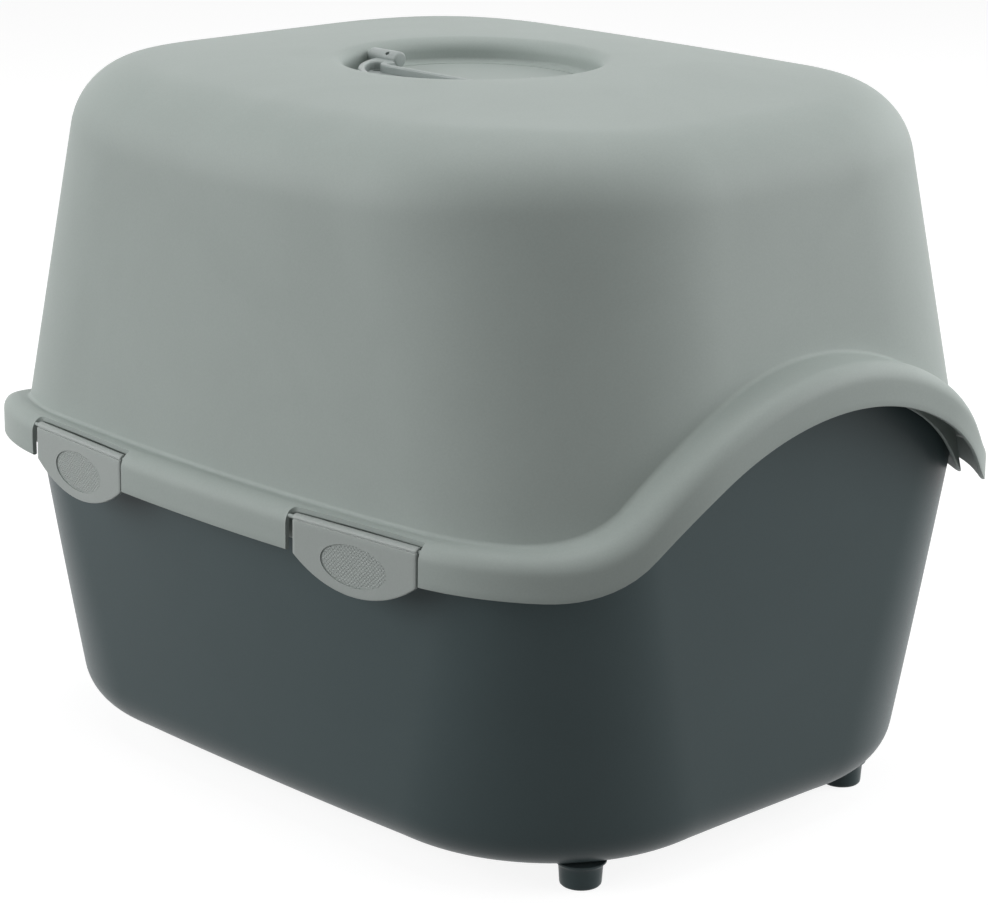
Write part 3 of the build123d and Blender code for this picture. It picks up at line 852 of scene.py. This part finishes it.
def collar_piece():
    """The collar round the entry, with a rounded bead that stands a little proud of the wall."""
    back = ENTRY_TOP_Y + ENTRY_COLLAR_DEPTH
    section = [(0.0, 0.6), (0.25, -0.3), (0.9, -ENTRY_BEAD * 0.8), (2.0, -ENTRY_BEAD),
               (3.4, -ENTRY_BEAD * 0.9), (4.5, -0.5), (5.0, 0.4), (5.0, 1.4), (WALL, 1.5)]
    rows = [[(x, wall_y_at(x, z) + shift, z) for x, z in entry_ring(grow)] for grow, shift in section]
    rows.insert(0, [(x, back, z) for x, z in entry_ring(0.0)])
    rows.append([(x, back, z) for x, z in entry_ring(WALL)])
    return solid("entry_collar", np.concatenate(rows), bands(0, len(rows), len(rows[0]), closed=True))


def flap_piece():
    """The swinging flap: a thin panel with a raised border and two pins."""
    half = [(1 - ENTRY_CORNER_R, 0.8), (-9.5, 0.8), (-9.0, 1.1), (-8.6, 1.3), (-2.6, 1.3), (-2.2, 1.1),
            (-2.0, 0.7)]
    section = [(grow, -shift) for grow, shift in half] + half[::-1]
    rows = [np.array([(x, FLAP_Y + shift, z) for x, z in entry_ring(grow)]) for grow, shift in section]
    pieces = [skin("flap_panel", rows, (0, FLAP_Y - 0.8, ENTRY_MIDDLE), (0, FLAP_Y + 0.8, ENTRY_MIDDLE))]
    for sign in (-1, 1):
        rings = [ring_of(24, lambda c, s: (sign * x, FLAP_Y + FLAP_PIN_R * c, FLAP_PIN_Z + FLAP_PIN_R * s))
                 for x in (ENTRY_WIDTH / 2 - 8, ENTRY_WIDTH / 2 + 6)]
        pieces.append(soften(loft("pin", rings), 0.5))
    return joined("flap_panel", pieces)


# ---- small fittings

def foot_profile():
    """A single foot, standing at the origin of its frame."""
    profile = [(-2.6, 0.0), (-1.0, 0.35), (-0.2, 1.2), (0, 2.2), (0.35, 8.0), (0.65, 11.6), (1.4, 13.2),
               (2.6, FOOT_HEIGHT), (2.6, FOOT_HEIGHT + 1.0)]
    rows = [ring_of(40, lambda c, s: ((FOOT_R + grow) * c, (FOOT_R + grow) * s, z)) for grow, z in profile]
    return skin("foot", rows, (0, 0, 0), (0, 0, FOOT_HEIGHT + 1.0))


def catch_piece(end, side):
    """One catch on the pan, under a clip's hook."""
    rings = block((CLIP_MIDDLE - CATCH_HALF_LENGTH, CLIP_MIDDLE + CATCH_HALF_LENGTH), CATCH_REACH,
                  (CATCH_TOP - CATCH_HEIGHT, CATCH_TOP))
    return at_clip(soften(loft("catch", rings), 0.8), end, side)


def web_plate(inner, outer, base, across):
    """One web in the channel under the flange, between two places along its own run, seen from across."""
    bend = math.copysign(SHOULDER_R, outer)
    top = base + SKIRT_HEIGHT
    profile = [(inner, top - WEB_DEPTH), (outer, top - WEB_DEPTH), (outer, top - 0.9 * SHOULDER_R),
               (outer - 0.25 * bend, top - 0.5 * SHOULDER_R), (outer - 0.7 * bend, top - WEB_TOP_GAP),
               (inner, top - WEB_TOP_GAP)]
    rings = [np.array([across(run, side) + (z,) for run, z in profile])
             for side in (-WEB_THICKNESS / 2, WEB_THICKNESS / 2)]
    return soften(loft("web", rings), 0.3)


def web_piece():
    """The webs in the channel under the flange, near its corners."""
    flange = flange_xy(WALL / 2)
    wall = seam_row(hood_xy, WALL / 2, SKIRT_HEIGHT, SHELF_Z)[:, :2]
    plates = []
    for turn_y in (-1, 1):
        for turn_x in (-1, 1):
            y = turn_y * WEB_SIDE_Y
            inner = turn_x * reach_x(wall, y)
            plates.append(web_plate(inner, turn_x * reach_x(flange, y), seam_at(inner, y),
                                    lambda run, side: (run, y + side)))
            x = turn_x * WEB_END_X
            plates.append(web_plate(turn_y * reach_y(wall, x), turn_y * reach_y(flange, x),
                                    seam_at(x, turn_y * FLANGE_HALF_LENGTH),
                                    lambda run, side: (x + side, run)))
    return joined("flange_webs", plates)


def stop_piece():
    """The stops inside the hood that come down on the pan's rim."""
    wall_z = SEAM_Z + 20.0
    wall = hood_xy(level(wall_z), WALL / 2)
    blocks = []
    for place in (-STOP_PLACE, STOP_PLACE):
        across = (place - STOP_HALF_THICKNESS, place + STOP_HALF_THICKNESS)
        for sign in (-1, 1):
            x = sorted((sign * (PAN_HALF_WIDTH - PAN_WALL - STOP_OVERHANG), sign * reach_x(wall, place)))
            base = SEAM_Z + RIM_HEIGHT + SIDE_STOP_GAP
            blocks.append(block(x, across, (base, base + SIDE_STOP_HEIGHT)))
            base = seam_at(place, sign * 200.0) + RIM_HEIGHT + END_STOP_GAP
            y = sorted((sign * (PAN_HALF_LENGTH - PAN_WALL - STOP_OVERHANG),
                        sign * (reach_y(wall, place) - math.tan(HOOD_END_LEAN) * (base - wall_z))))
            blocks.append(block(across, y, (base, base + END_STOP_HEIGHT)))
    return joined("rim_stops", [soften(loft("stop", rings), 0.4) for rings in blocks])


# ---- node trees

def node_group(kind, name, inputs, outputs):
    """A node group with its sockets made, and what it is given."""
    group = bpy.data.node_groups.new(name, kind)
    for label, socket_kind, value in inputs:
        socket = group.interface.new_socket(label, in_out="INPUT", socket_type="NodeSocket" + socket_kind)
        if value is not None:
            socket.default_value = value
    for label, socket_kind in outputs:
        group.interface.new_socket(label, in_out="OUTPUT", socket_type="NodeSocket" + socket_kind)
    return group, group.nodes.new("NodeGroupInput").outputs


def adder(tree):
    """Two functions that add to tree. The first adds a node and gives its outputs: inputs are values, or
    sockets to link. The second adds a sum and gives its result."""
    def add(kind, inputs=None, **settings):
        node = tree.nodes.new(kind)
        for label, value in settings.items():
            setattr(node, label, value)
        for label, value in (inputs or {}).items():
            if isinstance(value, bpy.types.NodeSocket):
                tree.links.new(value, node.inputs[label])
            else:
                node.inputs[label].default_value = value
        return node.outputs

    def maths(kind, *values, **settings):
        return add("ShaderNodeMath", dict(enumerate(values)), operation=kind, **settings)[0]

    return add, maths


def geometry_group(name, numbers):
    """An empty geometry tree with named numbers and a material as its inputs."""
    inputs = [("Geometry", "Geometry", None), *[(label, "Float", None) for label in numbers],
              ("Material", "Material", None)]
    return node_group("GeometryNodeTree", name, inputs, [("Geometry", "Geometry")])


def end_tree(add, given, shapes, smooth=False):
    """The end of a geometry tree: plain shapes in the given material."""
    plain = add("GeometryNodeRealizeInstances", {0: shapes})
    if smooth:
        plain = add("GeometryNodeSetShadeSmooth", {"Geometry": plain[0]})
    painted = add("GeometryNodeSetMaterial", {"Geometry": plain[0], "Material": given["Material"]})
    add("NodeGroupOutput", {"Geometry": painted[0]})


def grip_tree():
    """Geometry nodes: staggered beads that fill an oval."""
    tree, given = geometry_group("grip_beads", ("Pitch X", "Pitch Z", "Bead Length", "Bead Height",
                                                "Bead Depth", "Oval Length", "Oval Height"))
    add, maths = adder(tree)
    pitch_x, pitch_z = given["Pitch X"], given["Pitch Z"]
    long, high = given["Oval Length"], given["Oval Height"]
    columns = maths("CEIL", maths("DIVIDE", long, pitch_x))
    rows = maths("CEIL", maths("DIVIDE", high, pitch_z))
    grid = add("GeometryNodeMeshGrid", {
        "Size X": maths("MULTIPLY", columns, pitch_x), "Size Y": maths("MULTIPLY", rows, pitch_z),
        "Vertices X": maths("ADD", columns, 1), "Vertices Y": maths("ADD", rows, 1)})
    place = add("ShaderNodeSeparateXYZ", {0: add("GeometryNodeInputPosition")[0]})
    row = maths("ROUND", maths("DIVIDE", place["Y"], pitch_z))
    half_odd = maths("MULTIPLY", maths("FLOORED_MODULO", row, 2), 0.5)
    shift = add("ShaderNodeCombineXYZ", {"X": maths("MULTIPLY", half_odd, pitch_x)})
    staggered = add("GeometryNodeSetPosition", {"Geometry": grid["Mesh"], "Offset": shift[0]})
    moved = add("ShaderNodeSeparateXYZ", {0: add("GeometryNodeInputPosition")[0]})
    across = maths("DIVIDE", maths("MULTIPLY", moved["X"], 2), long)
    upward = maths("DIVIDE", maths("MULTIPLY", moved["Y"], 2), high)
    square = maths("ADD", maths("MULTIPLY", across, across), maths("MULTIPLY", upward, upward))
    outside = add("FunctionNodeCompare", {"A": square, "B": GRIP_FILL}, data_type="FLOAT",
                  operation="GREATER_THAN")
    kept = add("GeometryNodeDeleteGeometry", {"Geometry": staggered[0], "Selection": outside[0]},
               domain="POINT")
    points = add("GeometryNodeMeshToPoints", {"Mesh": kept[0]})
    bead = add("GeometryNodeMeshUVSphere", {"Segments": 8, "Rings": 5, "Radius": 0.5})
    size = add("ShaderNodeCombineXYZ", {
        "X": given["Bead Length"], "Y": given["Bead Height"], "Z": given["Bead Depth"]})
    spread = add("GeometryNodeInstanceOnPoints", {
        "Points": points[0], "Instance": bead["Mesh"], "Scale": size[0]})
    end_tree(add, given, spread[0], smooth=True)
    return tree


def foot_tree():
    """Geometry nodes: one foot copied to the four corners of a rectangle."""
    tree, given = geometry_group("four_feet", ("Spacing X", "Spacing Y"))
    add, maths = adder(tree)
    corners = add("GeometryNodeMeshGrid", {
        "Vertices X": 2, "Vertices Y": 2, "Size X": given["Spacing X"], "Size Y": given["Spacing Y"]})
    points = add("GeometryNodeMeshToPoints", {"Mesh": corners["Mesh"]})
    spread = add("GeometryNodeInstanceOnPoints", {"Points": points[0], "Instance": given["Geometry"]})
    end_tree(add, given, spread[0])
    return tree


def grown(piece, tree, **values):
    """Run a geometry tree on a piece and keep the plain mesh it gives."""
    change = piece.modifiers.new(tree.name, "NODES")
    change.node_group = tree
    for item in tree.interface.items_tree:
        label = item.name.replace(" ", "_")
        if item.in_out == "INPUT" and label in values:
            change[item.identifier] = values[label]
    return settle(piece)


# ---- finishes

def linear(red, green, blue):
    """A colour given as 8-bit sRGB numbers, for a shader."""
    def channel(value):
        value /= 255
        return value / 12.92 if value <= 0.04045 else ((value + 0.055) / 1.055) ** 2.4
    return (channel(red), channel(green), channel(blue), 1.0)


def spread_out(add, source, low, high, middle=0.5, reach=0.25):
    """A value from low to high as source runs from one side of middle to the other."""
    return add("ShaderNodeMapRange", {"Value": source, "From Min": middle - reach, "From Max": middle + reach,
                                      "To Min": low, "To Max": high})["Result"]


def moulded_grain():
    """Fine spark-eroded grain with a slow ripple, as a height in millimetres."""
    group, given = node_group(
        "ShaderNodeTree", "moulded_grain",
        [("Place", "Vector", None), ("Grain Size", "Float", 0.6), ("Grain Depth", "Float", 0.02),
         ("Ripple Depth", "Float", 0.05)],
        [("Height", "Float"), ("Gloss", "Float")])
    add, maths = adder(group)
    fine = add("ShaderNodeTexNoise", {"Vector": given["Place"], "Detail": 3.0, "Roughness": 0.6,
                                      "Scale": maths("DIVIDE", 1 / MM, given["Grain Size"])})
    slow = add("ShaderNodeTexNoise", {"Vector": given["Place"], "Scale": 9.0, "Detail": 1.0})
    small = maths("MULTIPLY", fine["Fac"], given["Grain Depth"])
    both = maths("MULTIPLY_ADD", slow["Fac"], given["Ripple Depth"], small)
    add("NodeGroupOutput", {"Height": both, "Gloss": fine["Fac"]})
    return group


def plastic_tone():
    """The plastic's colour with slow flow marks, fine speckle, a painted highlight on sharp edges and a
    little dust.
    """
    group, given = node_group(
        "ShaderNodeTree", "plastic_tone",
        [("Place", "Vector", None), ("Colour", "Color", (0.4, 0.4, 0.4, 1)), ("Flow", "Float", 0.03),
         ("Speckle", "Float", 0.03), ("Edge Wear", "Float", 0.2), ("Dust", "Float", 0.05)],
        [("Colour", "Color"), ("Dull", "Float")])
    add, maths = adder(group)

    def noise(**inputs):
        return add("ShaderNodeTexNoise", {"Vector": given["Place"], **inputs})["Fac"]

    def lighten(colour, mask, strength, target):
        amount = maths("MULTIPLY", mask, strength)
        mix = add("ShaderNodeMix", {"Factor": amount, "A": colour, "B": target}, data_type="RGBA",
                  blend_type="MIX")
        return mix["Result"], amount

    flow = spread_out(add, noise(Scale=14.0, Detail=4.0, Distortion=0.8), -1.0, 1.0)
    speckle = spread_out(add, noise(Scale=900.0, Detail=2.0), -1.0, 1.0)
    value = maths("MULTIPLY_ADD", speckle, given["Speckle"],
                  maths("MULTIPLY_ADD", flow, given["Flow"], 1.0))
    tint = add("ShaderNodeHueSaturation", {"Color": given["Colour"], "Value": value})
    shape = add("ShaderNodeNewGeometry")
    # Painted highlight: sharp edges, found by Pointiness, are lightened toward pale grey
    edges = spread_out(add, shape["Pointiness"], 0.0, 1.0, 0.77)
    colour, _ = lighten(tint[0], edges, given["Edge Wear"], (0.75, 0.76, 0.76, 1))
    up = spread_out(add, add("ShaderNodeSeparateXYZ", {0: shape["Normal"]})["Z"], 0.0, 1.0, 0.75)
    specks = spread_out(add, noise(Scale=160.0, Detail=6.0, Roughness=0.7), 0.0, 1.0, 0.72)
    colour, dull = lighten(colour, maths("MULTIPLY", up, specks), given["Dust"], (0.62, 0.60, 0.56, 1))
    add("NodeGroupOutput", {"Colour": colour, "Dull": dull})
    return group


GRAIN = moulded_grain()
TONE = plastic_tone()


# The edge setting is the strength of a painted highlight that lightens sharp edges
def plastic(name, colour, roughness, grain=0.6, depth=0.02, ripple=0.05, wear=0.2, dust=0.05, alpha=None,
            reflection=0.4):
    """A moulded plastic made from the two groups."""
    material = bpy.data.materials.new(name)
    material.use_nodes = True
    add, maths = adder(material.node_tree)
    link = material.node_tree.links.new
    shader = material.node_tree.nodes["Principled BSDF"].inputs
    place = add("ShaderNodeTexCoord")["Object"]
    tone = add("ShaderNodeGroup", {"Place": place, "Colour": colour, "Flow": 0.03, "Speckle": 0.03,
                                   "Edge Wear": wear, "Dust": dust}, node_tree=TONE)
    texture = add("ShaderNodeGroup", {"Place": place, "Grain Size": grain, "Grain Depth": depth,
                                      "Ripple Depth": ripple}, node_tree=GRAIN)
    bump = add("ShaderNodeBump", {"Strength": 1.0, "Distance": MM, "Height": texture["Height"]})
    rough = spread_out(add, texture["Gloss"], roughness - 0.05, roughness + 0.05, reach=0.2)
    link(tone["Colour"], shader["Base Color"])
    link(bump["Normal"], shader["Normal"])
    link(maths("ADD", rough, tone["Dull"], use_clamp=True), shader["Roughness"])
    shader["IOR"].default_value = 1.49
    shader["Specular IOR Level"].default_value = reflection
    if alpha is not None:
        shader["Alpha"].default_value = alpha
    return material


# Each plastic's edge setting is the strength of the painted highlight on its sharp edges
PLASTICS = {
    "hood_plastic": plastic("hood_satin_grey", linear(163, 172, 168), 0.50, wear=0.45, dust=0.08,
                            reflection=0.22),
    "clip_plastic": plastic("clip_satin_grey", linear(158, 165, 162), 0.36, wear=0.55, ripple=0.02),
    "handle_plastic": plastic("handle_pale_grey", linear(160, 168, 166), 0.36, wear=0.30, ripple=0.02),
    "pan_plastic": plastic("pan_anthracite", linear(72, 85, 87), 0.36, grain=0.7, depth=0.03, wear=0.08,
                           dust=0.03, reflection=0.15),
    "flap_plastic": plastic("flap_smoky_clear", linear(70, 75, 80), 0.16, depth=0.001, ripple=0.01, wear=0.1,
                            dust=0.08, alpha=0.55),
}


# ---- the box

CORNERS = [(end, side) for end in (-1, 1) for side in (-1, 1)]

shell = hood_shell()
tools = [at_clip(loft("notch", [lifted(notch_plan(), z) for z in (-50.0, 6.0)]), *place) for place in CORNERS]
tools.append(loft("doorway", [np.array([(x, out - HOOD_HALF_LENGTH, z) for x, z in entry_ring(WALL)])
                              for out in (-30, 60)]))
cut(shell, *tools)
smoothed(shell.data, SHELL_SHARP)
dress(shell, "hood", "hood_plastic", stands_for="hood")

for fitting in (collar_piece(), web_piece(), stop_piece()):
    dress(fitting, "hood", "hood_plastic")

rods = [at_clip(rod("clip_rod", CLIP_ROD_R, -NOTCH_LENGTH / 2 - 2.5, NOTCH_LENGTH / 2 + 2.5), *place)
        for place in CORNERS]
dress(joined("clip_rods", rods), "hood", "hood_plastic")

pins = []
for start, end, radius in ((-RECESS_R - 1, HANDLE_BORE - 1 - HANDLE_BARREL_OUT, HANDLE_PIN_R),
                           (RECESS_R + 1, HANDLE_BARREL_OUT - REAR_BORE + 0.5, REAR_PIN_R)):
    pins.append(pin_between("handle_pin", (HANDLE_AXIS_X, RECESS_Y + start, HANDLE_AXIS_Z),
                            (HANDLE_AXIS_X, RECESS_Y + end, HANDLE_AXIS_Z), radius))
dress(joined("handle_pins", pins), "hood", "hood_plastic")

bosses = [soften(pin_between("flap_boss", (sign * (ENTRY_WIDTH / 2 + 1.5), FLAP_Y, FLAP_PIN_Z),
                             (sign * (ENTRY_WIDTH / 2 + WALL + 4), FLAP_Y, FLAP_PIN_Z), FLAP_BOSS_R), 0.6)
          for sign in (-1, 1)]
dress(joined("flap_bosses", bosses), "hood", "hood_plastic")

dress(pan_shell(), "pan", "pan_plastic", stands_for="pan")
feet = grown(foot_profile(), foot_tree(), Spacing_X=2 * FOOT_X * MM, Spacing_Y=2 * FOOT_Y * MM,
             Material=PLASTICS["pan_plastic"])
feet.name = "pan_feet"
dress(feet, "pan", "pan_plastic")
catches = [catch_piece(*place) for place in CORNERS]
dress(joined("clip_catches", catches), "pan", "pan_plastic")

GRIP_TREE = grip_tree()
for end, end_name in ((-1, "front"), (1, "rear")):
    for side, side_name in ((1, "right"), (-1, "left")):
        node = f"clip_{side_name}_{end_name}"
        clip = at_clip(clip_body(node + "_plate"), end, side)
        dress(clip, node, "clip_plastic", stands_for=node)
        beads = grown(in_scene(node + "_grip", bpy.data.meshes.new(node + "_grip")), GRIP_TREE,
                      Pitch_X=BEAD_PITCH[0] * MM, Pitch_Z=BEAD_PITCH[1] * MM, Bead_Length=BEAD_SIZE[0] * MM,
                      Bead_Height=BEAD_SIZE[1] * MM, Bead_Depth=BEAD_SIZE[2] * MM,
                      Oval_Length=GRIP_LENGTH * MM, Oval_Height=GRIP_HEIGHT * MM,
                      Material=PLASTICS["clip_plastic"])
        stand = Matrix(((1, 0, 0), (0, 0, 1), (0, 1, 0))).to_4x4()
        stand.translation = Vector((CLIP_MIDDLE, -GRIP_DEPTH, -GRIP_DROP)) * MM
        beads.data.transform(clip_frame(end, side) @ stand)
        if side > 0:
            beads.data.flip_normals()
        dress(beads, node, "clip_plastic")

dress(handle_piece(), "handle", "handle_plastic", stands_for="handle")
dress(flap_piece(), "door_flap", "flap_plastic", stands_for="door_flap")


# ---- floor, light and camera

FLOOR_REACH = 14.0
FLOOR_GLOW = 0.88
LAMP_AIM = Vector((0, 0, 0.2))
CAMERA_TURN = math.radians(135.86)
CAMERA_RISE = math.radians(16.04)
CAMERA_ROLL = math.radians(0.68)
CAMERA_TARGET = Vector((-1.52, 8.62, 182.84)) * MM
CAMERA_DISTANCE = 1859.35 * MM
SENSOR_WIDTH = 36.0
FOCUS_PIXELS = 3137.04
PICTURE_WIDTH = 988


def seen_directly(add, maths):
    """1 for rays that come from the camera, a reflection or a clear piece, and 0 for the others."""
    path = add("ShaderNodeLightPath")
    seen = maths("MAXIMUM", path["Is Camera Ray"], path["Is Glossy Ray"])
    return maths("MAXIMUM", seen, path["Is Transmission Ray"])


def floor_material():
    """A pale floor that looks white but keeps the box's shadow."""
    material = bpy.data.materials.new("pale_floor")
    material.use_nodes = True
    nodes = material.node_tree.nodes
    nodes.remove(nodes["Principled BSDF"])
    add, maths = adder(material.node_tree)
    matt = add("ShaderNodeBsdfDiffuse", {"Color": (0.3, 0.3, 0.3, 1)})
    glow = add("ShaderNodeEmission", {"Color": (1, 1, 1, 1),
                                      "Strength": maths("MULTIPLY", seen_directly(add, maths), FLOOR_GLOW)})
    both = add("ShaderNodeAddShader", {0: matt[0], 1: glow[0]})
    material.node_tree.links.new(both[0], nodes["Material Output"].inputs["Surface"])
    return material


floor_mesh = bpy.data.meshes.new("floor")
floor_corners = ((-1, -1), (1, -1), (1, 1), (-1, 1))
floor_mesh.from_pydata([(x * FLOOR_REACH, y * FLOOR_REACH, 0) for x, y in floor_corners], [], [(0, 1, 2, 3)])
floor = in_scene("floor", floor_mesh)
floor.data.materials.append(floor_material())

world = bpy.data.worlds.new("studio")
bpy.context.scene.world = world
world.use_nodes = True
add_to_world, sum_in_world = adder(world.node_tree)
sky = world.node_tree.nodes["Background"].inputs
sky["Color"].default_value = (1, 1, 1, 1)
directly = seen_directly(add_to_world, sum_in_world)
brightness = add_to_world("ShaderNodeMapRange", {"Value": directly, "To Min": 0.08, "To Max": 1.0})
world.node_tree.links.new(brightness[0], sky["Strength"])


def lamp(name, place, size, power):
    """A square soft box at place, turned to the box."""
    light = bpy.data.lights.new(name, "AREA")
    light.shape = "SQUARE"
    light.size = size
    light.energy = power
    holder = in_scene(name, light)
    holder.location = place
    holder.rotation_mode = "QUATERNION"
    holder.rotation_quaternion = (Vector(place) - LAMP_AIM).to_track_quat("Z", "Y")


lamp("overhead_soft_box", (0.0, 0.0, 2.7), 2.2, 35)
lamp("rear_soft_box", (-1.9, 2.1, 1.15), 2.2, 48)
lamp("left_soft_box", (-2.8, 0.6, 1.15), 2.2, 18)
lamp("front_soft_box", (2.1, -1.9, 1.15), 2.0, 33)
lamp("right_soft_box", (2.8, -0.5, 1.15), 1.8, 22)

back = Vector((math.sin(CAMERA_TURN) * math.cos(CAMERA_RISE), -math.cos(CAMERA_TURN) * math.cos(CAMERA_RISE),
               math.sin(CAMERA_RISE)))
right = Vector((math.cos(CAMERA_TURN), math.sin(CAMERA_TURN), 0))
up = back.cross(right)
level_right = right * math.cos(CAMERA_ROLL) + up * math.sin(CAMERA_ROLL)
level_up = up * math.cos(CAMERA_ROLL) - right * math.sin(CAMERA_ROLL)
lens = bpy.data.cameras.new("camera")
lens.sensor_fit = "HORIZONTAL"
lens.sensor_width = SENSOR_WIDTH
lens.lens = FOCUS_PIXELS / PICTURE_WIDTH * SENSOR_WIDTH
lens.clip_end = 60
camera = in_scene("camera", lens)
placing = Matrix((level_right, level_up, back)).transposed().to_4x4()
placing.translation = CAMERA_TARGET + back * CAMERA_DISTANCE
camera.matrix_world = placing
bpy.context.scene.camera = camera
bpy.context.scene.view_settings.view_transform = "Standard"
